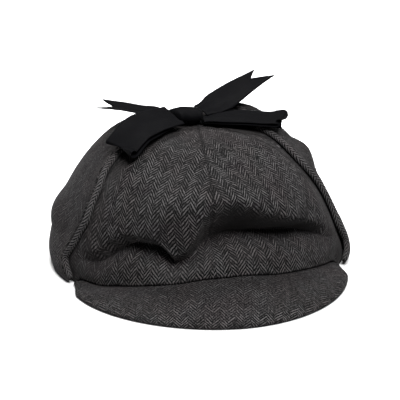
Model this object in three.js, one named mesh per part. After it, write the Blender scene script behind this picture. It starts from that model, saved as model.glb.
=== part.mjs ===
// A soft wool cap with a stiff front peak and two ear flaps turned up against the crown.
// Ribbons sewn to the flap tips are tied in a bow on top of the crown.
// Millimetres, +Z up, the peak towards -Y. The cap stands on z = 0 and the origin is the middle
// of its footprint. Left and right are as seen from the front. Angles are in degrees about the
// crown's upright axis, counted from the front, positive to the right.
import * as THREE from "three";

// Driving dimensions
const CROWN_AXIS_Y = 21;
const CROWN_HEIGHT = 95;
const CROWN_CLOTH = 2.2;
const FLAP_CLOTH = 3.2;
const PEAK_THICKNESS = 3.8;
const PEAK_END_Y = -26;
const PEAK_MIDDLE_X = 4.2;
const PEAK_LEFT = 100.2;
const PEAK_RIGHT = 90.4;
const PEAK_REACH = 90.8;
const PEAK_FULLNESS = 1.92;
const PEAK_END_ANGLE = 61.4;
const PEAK_CORNER = 0.3;
const PEAK_CORNER_ANGLE = 14;
const PEAK_CAMBER = 2;
const PEAK_TUCK = 0.6;
const PIPING_DIAMETER = 4.4;
const RIBBON_THICKNESS = 1;
const TAIL_NOTCH = 8;
const SEAM_GAP = 0.4;

// The crown's rim, whose front is lifted by the peak
const RIM = [
  { angle: -180, r: 90, z: 0 },
  { angle: -125, r: 93, z: 0 },
  { angle: -73, r: 99.6, z: 0 },
  { angle: -65.4, r: 99.8, z: 0.3 },
  { angle: -62.2, r: 99, z: 4.5 },
  { angle: -52, r: 98.5, z: 5.2 },
  { angle: -42, r: 98.6, z: 8.8 },
  { angle: -29, r: 98.8, z: 12.9 },
  { angle: -17, r: 98.8, z: 16.1 },
  { angle: -6, r: 98.6, z: 19.4 },
  { angle: 7, r: 98.5, z: 20 },
  { angle: 21, r: 98.6, z: 17.1 },
  { angle: 37, r: 98.6, z: 13.8 },
  { angle: 51, r: 98.6, z: 9.6 },
  { angle: 62.2, r: 99, z: 5.2 },
  { angle: 65.4, r: 101.2, z: 0.3 },
  { angle: 73, r: 102.7, z: 0 },
  { angle: 92, r: 98.6, z: 0 },
  { angle: 125, r: 94, z: 0 },
  { angle: 180, r: 90, z: 0 },
];

// The rest of the crown's half section without its folds: radius and height of three places
const SECTIONS = [
  { angle: -180, bellyR: 95.6, bellyZ: 26, browR: 86, browZ: 57, domeR: 57, domeZ: 90 },
  { angle: -125, bellyR: 97.2, bellyZ: 16, browR: 83.5, browZ: 57, domeR: 55.5, domeZ: 87.5 },
  { angle: -73, bellyR: 100.5, bellyZ: 14, browR: 84, browZ: 57, domeR: 55, domeZ: 85.5 },
  { angle: -64, bellyR: 100.4, bellyZ: 18, browR: 87, browZ: 57, domeR: 56, domeZ: 85.5 },
  { angle: -35, bellyR: 97, bellyZ: 31, browR: 92.5, browZ: 59.5, domeR: 57, domeZ: 86 },
  { angle: 0, bellyR: 96.5, bellyZ: 34, browR: 97.5, browZ: 70, domeR: 57, domeZ: 86.5 },
  { angle: 20, bellyR: 96.6, bellyZ: 32.5, browR: 97.5, browZ: 63.5, domeR: 57, domeZ: 86 },
  { angle: 38, bellyR: 97, bellyZ: 31, browR: 95, browZ: 57.5, domeR: 57, domeZ: 85.5 },
  { angle: 64, bellyR: 100.6, bellyZ: 18, browR: 84.5, browZ: 57, domeR: 55.5, domeZ: 85.5 },
  { angle: 73, bellyR: 101.8, bellyZ: 12, browR: 80.5, browZ: 57, domeR: 54.5, domeZ: 85.5 },
  { angle: 95, bellyR: 97, bellyZ: 14, browR: 80.5, browZ: 57, domeR: 55, domeZ: 87 },
  { angle: 130, bellyR: 96.4, bellyZ: 16, browR: 80.5, browZ: 57, domeR: 56, domeZ: 93.2 },
  { angle: 180, bellyR: 95.6, bellyZ: 26, browR: 86, browZ: 57, domeR: 57, domeZ: 90 },
];

// The slumped front: a crease that runs round above the peak, how deep the cloth is pushed in
// there, and how far up the crown the push reaches
const FOLDS = [
  { angle: -66, creaseZ: 18, depth: 0, reach: 9 },
  { angle: -55, creaseZ: 19.5, depth: 8, reach: 9 },
  { angle: -45, creaseZ: 30.5, depth: 14, reach: 11 },
  { angle: -37, creaseZ: 35.5, depth: 15.5, reach: 10.5 },
  { angle: -27, creaseZ: 35, depth: 15.5, reach: 10 },
  { angle: -23, creaseZ: 31, depth: 13, reach: 9 },
  { angle: -19.5, creaseZ: 27.3, depth: 10, reach: 7 },
  { angle: -15, creaseZ: 28.6, depth: 11, reach: 8 },
  { angle: -11, creaseZ: 32.8, depth: 15, reach: 13 },
  { angle: -6, creaseZ: 38.3, depth: 20.5, reach: 29 },
  { angle: -1, creaseZ: 40.1, depth: 24.5, reach: 33 },
  { angle: 7, creaseZ: 41.9, depth: 25, reach: 29.5 },
  { angle: 16, creaseZ: 41.6, depth: 25, reach: 21.5 },
  { angle: 25, creaseZ: 40.1, depth: 24, reach: 17 },
  { angle: 39, creaseZ: 38.1, depth: 17, reach: 10 },
  { angle: 47, creaseZ: 33.8, depth: 12, reach: 8 },
  { angle: 60, creaseZ: 25, depth: 0, reach: 8 },
];
const BROW_POWER = 1.15;
const ROLL_REACH = 13;
const ROLL_POWER = 2.2;

// A turned-up ear flap from its lower edge at the rim (step 0) to its tip: share of the way from rim
// to crown top, the angles of its front and back edges, and the middle of its cloth off the crown
const FLAP_ROWS = [
  { step: 0, rise: 0.0165, leftFront: 66.6, rightFront: 66.6, back: 140, standOff: 2.55 },
  { step: 1, rise: 0.021, leftFront: 66.8, rightFront: 66.8, back: 140, standOff: 2.85 },
  { step: 2, rise: 0.03, leftFront: 67.3, rightFront: 67.4, back: 140, standOff: 2.95 },
  { step: 3, rise: 0.052, leftFront: 68.7, rightFront: 69, back: 140, standOff: 2.9 },
  { step: 4, rise: 0.105, leftFront: 71, rightFront: 70.8, back: 141, standOff: 2.75 },
  { step: 5, rise: 0.2, leftFront: 65.2, rightFront: 66.8, back: 146, standOff: 2.4 },
  { step: 6, rise: 0.29, leftFront: 60.8, rightFront: 66.5, back: 151, standOff: 2.2 },
  { step: 7, rise: 0.39, leftFront: 61.6, rightFront: 64.8, back: 153, standOff: 2.1 },
  { step: 8, rise: 0.49, leftFront: 65.5, rightFront: 62.4, back: 150, standOff: 2.1 },
  { step: 9, rise: 0.58, leftFront: 69.8, rightFront: 65, back: 145, standOff: 2.1 },
  { step: 10, rise: 0.66, leftFront: 75, rightFront: 75.5, back: 138, standOff: 2.1 },
  { step: 11, rise: 0.73, leftFront: 84, rightFront: 84, back: 129, standOff: 2.1 },
];

// How much further each flap's front edge stands off the crown, and the share of the flap it eases in
const FLARES = [
  { step: 0, left: 0, right: 0 },
  { step: 1, left: 0, right: 0 },
  { step: 2, left: 0, right: 0.6 },
  { step: 3, left: 0, right: 1.2 },
  { step: 4, left: 0.2, right: 1.4 },
  { step: 5, left: 0.6, right: 0.8 },
  { step: 6, left: 0.8, right: 0.8 },
  { step: 8, left: 0.8, right: 0.8 },
  { step: 9, left: 0.6, right: 0.8 },
  { step: 10, left: 0.3, right: 0.4 },
  { step: 11, left: 0, right: 0 },
];
const FLARE_SHARE = 0.25;

const FLAP_HEART = { up: 0.6, across: 0.5 };

// Soft swellings of the turned-up flaps: place, half spans and height
const SWELLS = [
  { side: 1, angle: 96, rise: 0.46, halfAngle: 24, halfRise: 0.08, height: 4.8 },
  { side: -1, angle: 96, rise: 0.235, halfAngle: 24, halfRise: 0.09, height: 3.6 },
];

// Ribbon runs: middle of the ribbon from the crown's axis, the heading and dip of its crosswise
// direction (heading 0 points to the front), and its width
const LEFT_LOOP = [
  { x: -16.4, y: -3.5, z: 102.9, heading: 22, dip: 20, width: 22 },
  { x: -23.6, y: -8, z: 102.9, heading: 16, dip: 17, width: 24 },
  { x: -35.3, y: -15, z: 102.3, heading: 22, dip: 19, width: 25 },
  { x: -45.6, y: -24, z: 100.2, heading: 26, dip: 18, width: 25.5 },
  { x: -56.2, y: -33, z: 92.9, heading: 30, dip: 17, width: 25.5 },
  { x: -57.4, y: -34, z: 91.6, heading: 30, dip: 17, width: 25.5 },
  { x: -55.4, y: -32.4, z: 91.2, heading: 30, dip: 17, width: 25.5 },
  { x: -45.2, y: -23.5, z: 98.2, heading: 26, dip: 18, width: 25.5 },
  { x: -35.3, y: -15, z: 100.3, heading: 22, dip: 19, width: 24 },
  { x: -24, y: -8, z: 100.4, heading: 15, dip: 16, width: 18 },
  { x: -16.8, y: -4.5, z: 100.4, heading: 22, dip: 19, width: 10 },
];
const RIGHT_LOOP = [
  { x: 3.6, y: -3, z: 99.3, heading: -15, dip: 5, width: 12 },
  { x: 14.1, y: -3.5, z: 100.9, heading: -26, dip: 6, width: 20 },
  { x: 30.6, y: -4.5, z: 100.7, heading: -23, dip: 4, width: 23.5 },
  { x: 46.4, y: -5.5, z: 99.3, heading: -27, dip: 3, width: 24 },
  { x: 56, y: -6.4, z: 98.6, heading: -36, dip: 2, width: 24 },
  { x: 58.6, y: -6.6, z: 97.4, heading: -36, dip: 2, width: 24 },
  { x: 56, y: -6.4, z: 96.2, heading: -36, dip: 2, width: 24 },
  { x: 46.4, y: -5.5, z: 96.9, heading: -27, dip: 3, width: 24 },
  { x: 30.6, y: -4.5, z: 98.2, heading: -23, dip: 4, width: 22.5 },
  { x: 14.1, y: -3.5, z: 98.6, heading: -26, dip: 6, width: 18 },
  { x: 3.6, y: -3, z: 97.7, heading: -15, dip: 5, width: 10 },
];
const LEFT_TAIL = [
  { x: -20.8, y: 7.5, z: 101.8, heading: -2, dip: 4, width: 12 },
  { x: -26.5, y: 8.8, z: 103.6, heading: -8, dip: 0, width: 17 },
  { x: -37.3, y: 11.2, z: 103.9, heading: -15, dip: -2, width: 22.5 },
  { x: -49.7, y: 17, z: 105.2, heading: -19, dip: -3, width: 24 },
  { x: -64.8, y: 22, z: 106.4, heading: -31, dip: -2, width: 24 },
];
const RIGHT_TAIL = [
  { x: 3.6, y: 5, z: 103.4, heading: 0, dip: 17, width: 15 },
  { x: 13.1, y: 10, z: 105.4, heading: 14, dip: 14, width: 21 },
  { x: 22.2, y: 18, z: 107.9, heading: 16, dip: 15, width: 24 },
  { x: 35, y: 27, z: 112.8, heading: 13, dip: 11, width: 24.5 },
  { x: 55.2, y: 36, z: 120.8, heading: 33, dip: -6, width: 25 },
];
const LEFT_TIE = [
  { x: -34.2, y: 9.8, z: 94, heading: -16, dip: 0, width: 16 },
  { x: -24, y: 6, z: 95.4, heading: -16, dip: 0, width: 13 },
  { x: -14, y: 1.5, z: 96.1, heading: -16, dip: 0, width: 10 },
];
const RIGHT_TIE = [
  { x: 34.5, y: 9.6, z: 95.9, heading: 16, dip: 10, width: 14 },
  { x: 16, y: 5, z: 96.7, heading: 16, dip: 8, width: 12 },
  { x: 1, y: 1, z: 96.1, heading: 16, dip: 0, width: 9 },
];

// The knot from end to end: distance from its middle, half depth, half height, and how far its
// front leans to the right
const KNOT_CENTRE = { x: -7, y: 0, z: 102.2 };
const KNOT_SECTIONS = [
  { along: -10.2, halfDepth: 6, halfHeight: 3.2, lean: 3 },
  { along: -8, halfDepth: 8, halfHeight: 4.6, lean: 3.2 },
  { along: -3, halfDepth: 9, halfHeight: 5.2, lean: 2.4 },
  { along: 3, halfDepth: 9, halfHeight: 5.2, lean: 1.4 },
  { along: 8, halfDepth: 8, halfHeight: 4.6, lean: 0.8 },
  { along: 9.8, halfDepth: 6, halfHeight: 3.2, lean: 0.6 },
];

// How finely each surface is divided
const FRONT_SPAN = 72;
const FRONT_COLUMNS = 44;
const BACK_COLUMNS = 24;
const ROWS_BELOW_CREASE = [0, 0.22, 0.44, 0.62, 0.78, 0.9, 1];
const ROWS_ABOVE_CREASE = [0.05, 0.1, 0.15, 0.2, 0.25, 0.3, 0.36, 0.43, 0.52, 0.63, 0.75, 0.86, 0.94, 1];
const SAMPLES_PER_SPAN = 16;
const PEAK_COLUMNS = 32;
const PEAK_ROWS = 5;
const PEAK_EDGE_ANGLES = [60, 20, -20, -60];
const FLAP_FOLD_ROWS = 3;
const FLAP_FOLD_STEPS = 5;
const FLAP_STEPS = 11;
const FLAP_COLUMNS = 14;
const PIPING_FIRST_STEP = 1;
const PIPING_TIP_STEPS = 4;
const PIPING_SIDES = 6;
const KNOT_SIDES = 12;
const LOOP_STEPS = 20;
const TAIL_STEPS = 9;
const TIE_STEPS = 4;

const radians = THREE.MathUtils.degToRad;
const UP = new THREE.Vector3(0, 0, 1);

// A value between 1 in the middle and 0 at and past either end
function bell(x) {
  return Math.abs(x) < 1 ? (1 - x * x) ** 2 : 0;
}

function spread(from, to, count) {
  return Array.from({ length: count + 1 }, (_, i) => from + ((to - from) * i) / count);
}

// Slope of a smooth curve at a row of a table, level wherever its column turns back
function slopeAt(rows, key, column, i) {
  if (i === 0 || i === rows.length - 1) return 0;
  const before = rows[i][key] - rows[i - 1][key];
  const after = rows[i + 1][key] - rows[i][key];
  const slopeBefore = (rows[i][column] - rows[i - 1][column]) / before;
  const slopeAfter = (rows[i + 1][column] - rows[i][column]) / after;
  if (slopeBefore * slopeAfter <= 0) return 0;
  const weightBefore = 2 * after + before;
  const weightAfter = after + 2 * before;
  return (weightBefore + weightAfter) / (weightBefore / slopeBefore + weightAfter / slopeAfter);
}

// One column of a table at any value of its key, held level past the first and last rows
function lookUp(rows, key, column, value) {
  const x = THREE.MathUtils.clamp(value, rows[0][key], rows[rows.length - 1][key]);
  let i = 0;
  while (i < rows.length - 2 && x > rows[i + 1][key]) i += 1;
  const span = rows[i + 1][key] - rows[i][key];
  const t = (x - rows[i][key]) / span;
  const rise = t * t * (3 - 2 * t);
  const leaving = t * (1 - t) ** 2 * span * slopeAt(rows, key, column, i);
  const arriving = t * t * (t - 1) * span * slopeAt(rows, key, column, i + 1);
  return rows[i][column] * (1 - rise) + rows[i + 1][column] * rise + leaving + arriving;
}

// Crown surface
function wrapAngle(angle) {
  return THREE.MathUtils.euclideanModulo(angle + 180, 360) - 180;
}

const sectionCache = new Map();

// The half section at an angle as a fine line from rim to crown top, with lengths along it
function crownSection(angle) {
  const key = angle.toFixed(3);
  if (sectionCache.has(key)) return sectionCache.get(key);
  const at = (column) => lookUp(SECTIONS, "angle", column, angle);
  const places = [
    new THREE.Vector3(lookUp(RIM, "angle", "r", angle), 0, lookUp(RIM, "angle", "z", angle)),
    new THREE.Vector3(at("bellyR"), 0, at("bellyZ")),
    new THREE.Vector3(at("browR"), 0, at("browZ")),
    new THREE.Vector3(at("domeR"), 0, at("domeZ")),
    new THREE.Vector3(0, 0, CROWN_HEIGHT),
    new THREE.Vector3(-at("domeR"), 0, at("domeZ")),
  ];
  const spans = places.length - 1;
  const curve = new THREE.CatmullRomCurve3(places, false, "centripetal");
  const top = (spans - 1) / spans;
  const points = spread(0, top, (spans - 1) * SAMPLES_PER_SPAN).map((t) => curve.getPoint(t));
  const lengths = [0];
  for (let i = 1; i < points.length; i += 1) {
    lengths.push(lengths[i - 1] + points[i].distanceTo(points[i - 1]));
  }
  const section = { points, lengths, total: lengths[lengths.length - 1] };
  sectionCache.set(key, section);
  return section;
}

function pointAlong(section, length) {
  let i = 0;
  while (i < section.lengths.length - 2 && length > section.lengths[i + 1]) i += 1;
  const step = section.lengths[i + 1] - section.lengths[i];
  const t = THREE.MathUtils.clamp((length - section.lengths[i]) / step, 0, 1);
  return section.points[i].clone().lerp(section.points[i + 1], t);
}

// Length from the rim up to the crease
function creaseLength(angle) {
  const section = crownSection(angle);
  const creaseZ = lookUp(FOLDS, "angle", "creaseZ", angle);
  let i = 0;
  while (i < section.points.length - 2 && section.points[i + 1].z < creaseZ) i += 1;
  const low = section.points[i].z;
  const t = (creaseZ - low) / (section.points[i + 1].z - low);
  return THREE.MathUtils.lerp(section.lengths[i], section.lengths[i + 1], t);
}

// Outer face of the crown at an angle and a length up from the rim, with or without its folds
function crownPoint(anyAngle, length, folded) {
  const angle = wrapAngle(anyAngle);
  const place = pointAlong(crownSection(angle), length);
  const depth = folded ? lookUp(FOLDS, "angle", "depth", angle) : 0;
  if (depth > 0) {
    const above = length - creaseLength(angle);
    const reach = above > 0 ? lookUp(FOLDS, "angle", "reach", angle) : ROLL_REACH;
    const power = above > 0 ? BROW_POWER : ROLL_POWER;
    place.x -= depth * Math.max(1 - Math.abs(above) / reach, 0) ** power;
  }
  const turn = radians(angle);
  return new THREE.Vector3(place.x * Math.sin(turn), CROWN_AXIS_Y - place.x * Math.cos(turn), place.z);
}

// Outward direction of a surface given as a function of two values
function surfaceNormal(surface, a, b, stepA, stepB) {
  const alongA = surface(a + stepA, b).sub(surface(a - stepA, b));
  const alongB = surface(a, b + stepB).sub(surface(a, b - stepB));
  return alongA.cross(alongB).normalize();
}

function crownNormal(angle, length, folded) {
  const step = 0.5;
  const clear = crownSection(wrapAngle(angle)).total - 3 * step;
  const within = THREE.MathUtils.clamp(length, step, clear);
  return surfaceNormal((a, b) => crownPoint(a, b, folded), angle, within, step, step);
}

// A closed skin over rings of equally many points, joined end to end or closed at both ends.
// Each end is filled by a ladder between the two halves of its ring.
function skin(rings, joined) {
  const count = rings[0].length;
  const points = rings.flat();
  const faces = [];
  const addQuad = (a, b, c, d) => faces.push([a, b, c], [a, c, d]);
  for (let i = 0; i < (joined ? rings.length : rings.length - 1); i += 1) {
    const near = i * count;
    const far = ((i + 1) % rings.length) * count;
    for (let j = 0; j < count; j += 1) {
      const next = (j + 1) % count;
      addQuad(near + j, near + next, far + next, far + j);
    }
  }
  if (!joined) {
    const last = (rings.length - 1) * count;
    for (let j = 0; j < count / 2 - 1; j += 1) {
      addQuad(count - 1 - j, count - 2 - j, j + 1, j);
      addQuad(last + j, last + j + 1, last + count - 2 - j, last + count - 1 - j);
    }
  }
  return closedGeometry(points, faces);
}

// Drops the slivers where ring points meet, shares the meeting points and turns the faces outwards
function closedGeometry(points, faces) {
  const places = new Map();
  const kept = [];
  const shared = points.map((point) => {
    const key = [point.x, point.y, point.z].map((v) => v.toFixed(5)).join(" ");
    if (!places.has(key)) {
      places.set(key, kept.length);
      kept.push(point);
    }
    return places.get(key);
  });
  const triangles = faces
    .map((face) => face.map((i) => shared[i]))
    .filter(([a, b, c]) => a !== b && b !== c && c !== a);
  const volume = triangles.reduce(
    (sum, [a, b, c]) => sum + kept[a].dot(kept[b].clone().cross(kept[c])),
    0,
  );
  const outward = volume > 0 ? triangles : triangles.map(([a, b, c]) => [a, c, b]);
  const geometry = new THREE.BufferGeometry().setFromPoints(kept);
  geometry.setIndex(outward.flat());
  geometry.computeVertexNormals();
  return geometry;
}

// Crown: one shell of cloth, open below
function crownGeometry() {
  const front = spread(-FRONT_SPAN, FRONT_SPAN, FRONT_COLUMNS);
  const back = spread(FRONT_SPAN, 360 - FRONT_SPAN, BACK_COLUMNS).slice(1, -1);
  const outerTop = new THREE.Vector3(0, CROWN_AXIS_Y, CROWN_HEIGHT);
  const innerTop = new THREE.Vector3(0, CROWN_AXIS_Y, CROWN_HEIGHT - CROWN_CLOTH);
  const rings = [...front, ...back].map((angle) => {
    const total = crownSection(wrapAngle(angle)).total;
    const crease = creaseLength(wrapAngle(angle));
    const lengths = [
      ...ROWS_BELOW_CREASE.map((share) => crease * share),
      ...ROWS_ABOVE_CREASE.map((share) => crease + (total - crease) * share),
    ];
    const outer = lengths.map((length) => crownPoint(angle, length, true));
    const inner = lengths.map((length, i) =>
      outer[i].clone().addScaledVector(crownNormal(angle, length, true), -CROWN_CLOTH),
    );
    inner[0].z = outer[0].z;
    outer[outer.length - 1] = outerTop.clone();
    inner[inner.length - 1] = innerTop.clone();
    return [...outer, ...inner.reverse()];
  });
  return skin(rings, true);
}

// Peak: a stiffened half-moon under the front rim, its rounded edge on the floor
function peakGeometry() {
  const axis = new THREE.Vector3(0, CROWN_AXIS_Y, 0);
  const half = PEAK_THICKNESS / 2;
  const rings = spread(-90, 90, PEAK_COLUMNS).map((turn) => {
    const rim = crownPoint((turn * PEAK_END_ANGLE) / 90, 0, true);
    const seamZ = rim.z - SEAM_GAP - half;
    const outward = new THREE.Vector3(rim.x, rim.y - CROWN_AXIS_Y, 0);
    const seamR = outward.length() - CROWN_CLOTH - PEAK_TUCK;
    const seam = axis.clone().addScaledVector(outward.normalize(), seamR);
    const sidewise = Math.sin(radians(turn));
    const forward = Math.cos(radians(turn));
    const fuller = (value) => Math.sign(value) * Math.abs(value) ** (2 / PEAK_FULLNESS);
    const edge = new THREE.Vector3(
      PEAK_MIDDLE_X + (turn < 0 ? PEAK_LEFT : PEAK_RIGHT) * fuller(sidewise),
      PEAK_END_Y - PEAK_REACH * fuller(forward),
      0,
    );
    const rounding = PEAK_CORNER * bell((90 - Math.abs(turn)) / PEAK_CORNER_ANGLE);
    const across = edge.clone().sub(seam).setZ(0);
    const flat = across.length() * (1 - rounding) - half;
    across.normalize();
    const middle = spread(0, 1, PEAK_ROWS).map((share) => {
      const camber = PEAK_CAMBER * Math.sin(Math.PI * share) * forward;
      const point = seam.clone().addScaledVector(across, flat * share);
      return point.setZ(THREE.MathUtils.lerp(seamZ, half, share) + camber);
    });
    const top = middle.map((point) => point.clone().addScaledVector(UP, half));
    const bottom = middle.map((point) => point.clone().addScaledVector(UP, -half));
    const nose = PEAK_EDGE_ANGLES.map((angle) =>
      middle[PEAK_ROWS]
        .clone()
        .addScaledVector(across, half * Math.cos(radians(angle)))
        .addScaledVector(UP, half * Math.sin(radians(angle))),
    );
    return [...top, ...nose, ...bottom.reverse()];
  });
  return skin(rings, false);
}

// Middle of a flap's cloth: share of the way from fold to tip, and from front edge to back edge
function flapPoint(side, up, across) {
  const step = up * (FLAP_ROWS.length - 1);
  const at = (column) => lookUp(FLAP_ROWS, "step", column, step);
  const front = at(side < 0 ? "leftFront" : "rightFront");
  const angle = THREE.MathUtils.lerp(front, at("back"), across);
  const rise = at("rise");
  const swell = SWELLS.filter((row) => row.side === side).reduce((sum, row) => {
    const spanShare = bell((angle - row.angle) / row.halfAngle);
    return sum + row.height * spanShare * bell((rise - row.rise) / row.halfRise);
  }, 0);
  const flareHere = lookUp(FLARES, "step", side < 0 ? "left" : "right", step);
  const flare = flareHere * bell(across / FLARE_SHARE);
  const length = rise * crownSection(side * angle).total;
  const normal = crownNormal(side * angle, length, false);
  return crownPoint(side * angle, length, false).addScaledVector(normal, at("standOff") + flare + swell);
}

function flapNormal(side, up, across) {
  const step = 0.01;
  const insideUp = THREE.MathUtils.clamp(up, step, 1 - step);
  const insideAcross = THREE.MathUtils.clamp(across, step, 1 - step);
  const surface = (a, b) => flapPoint(side, a, b);
  return surfaceNormal(surface, insideUp, insideAcross, step, step).multiplyScalar(-side);
}

// Steps up a flap, closer together near the rim
function flapSteps() {
  const foldEnd = FLAP_FOLD_ROWS / (FLAP_ROWS.length - 1);
  return [...spread(0, foldEnd, FLAP_FOLD_STEPS), ...spread(foldEnd, 1, FLAP_STEPS).slice(1)];
}

function flapGeometry(side) {
  const rings = flapSteps().map((up) => {
    const columns = spread(0, 1, FLAP_COLUMNS);
    const face = (across, offset) =>
      flapPoint(side, up, across).addScaledVector(flapNormal(side, up, across), offset);
    const outer = columns.map((across) => face(across, FLAP_CLOTH / 2));
    const inner = columns.map((across) => face(across, -FLAP_CLOTH / 2));
    return [...outer, ...inner.reverse()];
  });
  return skin(rings, false);
}

// Piping: a covered cord sewn round the flap's free edge
function pipingGeometry(side) {
  const steps = flapSteps().slice(PIPING_FIRST_STEP);
  const edge = [
    ...steps.map((up) => [up, 0]),
    ...spread(0, 1, PIPING_TIP_STEPS).slice(1, -1).map((across) => [1, across]),
    ...steps.reverse().map((up) => [up, 1]),
  ];
  const points = edge.map(([up, across]) => flapPoint(side, up, across));
  const heart = flapPoint(side, FLAP_HEART.up, FLAP_HEART.across);
  const offset = PIPING_DIAMETER / 2 + SEAM_GAP;
  const frames = points.map((point, i) => {
    const before = point.clone().sub(points[Math.max(i - 1, 0)]).normalize();
    const after = points[Math.min(i + 1, points.length - 1)].clone().sub(point).normalize();
    const along = before.clone().add(after).normalize();
    const normal = flapNormal(side, ...edge[i]);
    const out = along.clone().cross(normal).normalize();
    if (out.dot(point.clone().sub(heart)) < 0) out.negate();
    const turn = before.lengthSq() && after.lengthSq() ? before.angleTo(after) : 0;
    const centre = point.clone().addScaledVector(out, offset / Math.cos(turn / 2));
    return { centre, out, normal };
  });
  const rings = frames.map(({ centre, out, normal }) =>
    spread(0, 360, PIPING_SIDES).slice(0, -1).map((angle) =>
      centre
        .clone()
        .addScaledVector(out, (PIPING_DIAMETER / 2) * Math.cos(radians(angle)))
        .addScaledVector(normal, (PIPING_DIAMETER / 2) * Math.sin(radians(angle))),
    ),
  );
  return skin(rings, false);
}

// Ribbon: a thin strip along a table of places, with a notched end where one is asked for
function ribbonRow(rows, share) {
  const places = rows.map((row) => new THREE.Vector3(row.x, row.y + CROWN_AXIS_Y, row.z));
  const curve = new THREE.CatmullRomCurve3(places, false, "centripetal");
  const place = share * (rows.length - 1);
  const i = Math.min(Math.floor(place), rows.length - 2);
  const mix = (column) => THREE.MathUtils.lerp(rows[i][column], rows[i + 1][column], place - i);
  const heading = radians(mix("heading"));
  const dip = radians(mix("dip"));
  const along = curve.getTangent(share);
  const across = new THREE.Vector3(
    Math.sin(heading) * Math.cos(dip),
    -Math.cos(heading) * Math.cos(dip),
    -Math.sin(dip),
  );
  across.addScaledVector(along, -across.dot(along)).normalize();
  return { centre: curve.getPoint(share), along, across, width: mix("width") };
}

function ribbonGeometry(rows, steps, notch) {
  const rings = spread(0, 1, steps).map((share) => {
    const { centre, along, across, width } = ribbonRow(rows, share);
    const normal = along.clone().cross(across);
    const cut = share === 1 ? notch : 0;
    const line = [-1, 0, 1].map((place) =>
      centre
        .clone()
        .addScaledVector(across, (place * width) / 2)
        .addScaledVector(along, -cut * (1 - Math.abs(place))),
    );
    const top = line.map((point) => point.clone().addScaledVector(normal, RIBBON_THICKNESS / 2));
    const bottom = line.map((point) => point.clone().addScaledVector(normal, -RIBBON_THICKNESS / 2));
    return [...top, ...bottom.reverse()];
  });
  return skin(rings, false);
}

function knotGeometry() {
  const rings = KNOT_SECTIONS.map(({ along, halfDepth, halfHeight, lean }) =>
    spread(0, 360, KNOT_SIDES).slice(0, -1).map((angle) =>
      new THREE.Vector3(
        KNOT_CENTRE.x + along - lean * Math.cos(radians(angle)),
        KNOT_CENTRE.y + CROWN_AXIS_Y + halfDepth * Math.cos(radians(angle)),
        KNOT_CENTRE.z + halfHeight * Math.sin(radians(angle)),
      ),
    ),
  );
  return skin(rings, false);
}

// Materials
const wool = () => new THREE.MeshStandardMaterial({ color: 0x3d3b3e, roughness: 0.95, metalness: 0 });
const ribbon = () => new THREE.MeshStandardMaterial({ color: 0x16161b, roughness: 0.7, metalness: 0 });

const cap = new THREE.Group();
function add(name, geometry, material) {
  const mesh = new THREE.Mesh(geometry, material);
  mesh.name = name;
  cap.add(mesh);
}

add("crown", crownGeometry(), wool());
add("peak", peakGeometry(), wool());
add("left_ear_flap", flapGeometry(-1), wool());
add("right_ear_flap", flapGeometry(1), wool());
add("left_flap_piping", pipingGeometry(-1), wool());
add("right_flap_piping", pipingGeometry(1), wool());
add("left_tie", ribbonGeometry(LEFT_TIE, TIE_STEPS, 0), ribbon());
add("right_tie", ribbonGeometry(RIGHT_TIE, TIE_STEPS, 0), ribbon());
add("bow_knot", knotGeometry(), ribbon());
add("bow_left_loop", ribbonGeometry(LEFT_LOOP, LOOP_STEPS, 0), ribbon());
add("bow_right_loop", ribbonGeometry(RIGHT_LOOP, LOOP_STEPS, 0), ribbon());
add("bow_left_tail", ribbonGeometry(LEFT_TAIL, TAIL_STEPS, TAIL_NOTCH), ribbon());
add("bow_right_tail", ribbonGeometry(RIGHT_TAIL, TAIL_STEPS, TAIL_NOTCH), ribbon());

export default cap;
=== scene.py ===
"""Looks of the ear-flap cap: herringbone wool, piped flaps and a ribbon bow.

The shapes repeat the part's own sizes in millimetres at a finer division, and add the soft folds,
seams and gathers that its solids leave out. Left and right are as seen from the front. Angles are
in degrees about the crown's upright axis, counted from the front, positive to the right.
"""

import math

import bpy
import numpy as np
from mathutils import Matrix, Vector, noise


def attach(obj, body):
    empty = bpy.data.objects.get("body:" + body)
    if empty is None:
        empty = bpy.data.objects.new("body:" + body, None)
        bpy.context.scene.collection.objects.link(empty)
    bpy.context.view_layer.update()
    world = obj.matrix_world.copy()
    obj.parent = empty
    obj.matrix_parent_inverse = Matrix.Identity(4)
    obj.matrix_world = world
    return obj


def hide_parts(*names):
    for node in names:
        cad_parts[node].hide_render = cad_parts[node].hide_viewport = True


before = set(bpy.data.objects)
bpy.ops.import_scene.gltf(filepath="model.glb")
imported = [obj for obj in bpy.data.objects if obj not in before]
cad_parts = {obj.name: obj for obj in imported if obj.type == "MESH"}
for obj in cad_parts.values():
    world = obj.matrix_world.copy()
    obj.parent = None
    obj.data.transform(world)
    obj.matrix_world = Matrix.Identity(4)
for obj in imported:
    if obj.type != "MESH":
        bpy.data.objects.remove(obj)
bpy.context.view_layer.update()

MM = 0.001


def table(columns, *rows):
    """A short table as {column: values}."""
    return dict(zip(columns.split(), np.array(rows, float).T))


# Sizes shared with the part
CROWN_AXIS_Y = 21
CROWN_HEIGHT = 95
CROWN_CLOTH = 2.2
FLAP_CLOTH = 3.2
PEAK_THICKNESS = 3.8
PEAK_END_Y = -26
PEAK_MIDDLE_X = 4.2
PEAK_LEFT = 100.2
PEAK_RIGHT = 90.4
PEAK_REACH = 90.8
PEAK_FULLNESS = 1.92
PEAK_END_ANGLE = 61.4
PEAK_CORNER = 0.3
PEAK_CORNER_ANGLE = 14
PEAK_CAMBER = 2
PEAK_TUCK = 0.6
PIPING_DIAMETER = 4.4
RIBBON_WIDTH = 24
RIBBON_THICKNESS = 1
TAIL_NOTCH = 8
SEAM_GAP = 0.4

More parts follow.
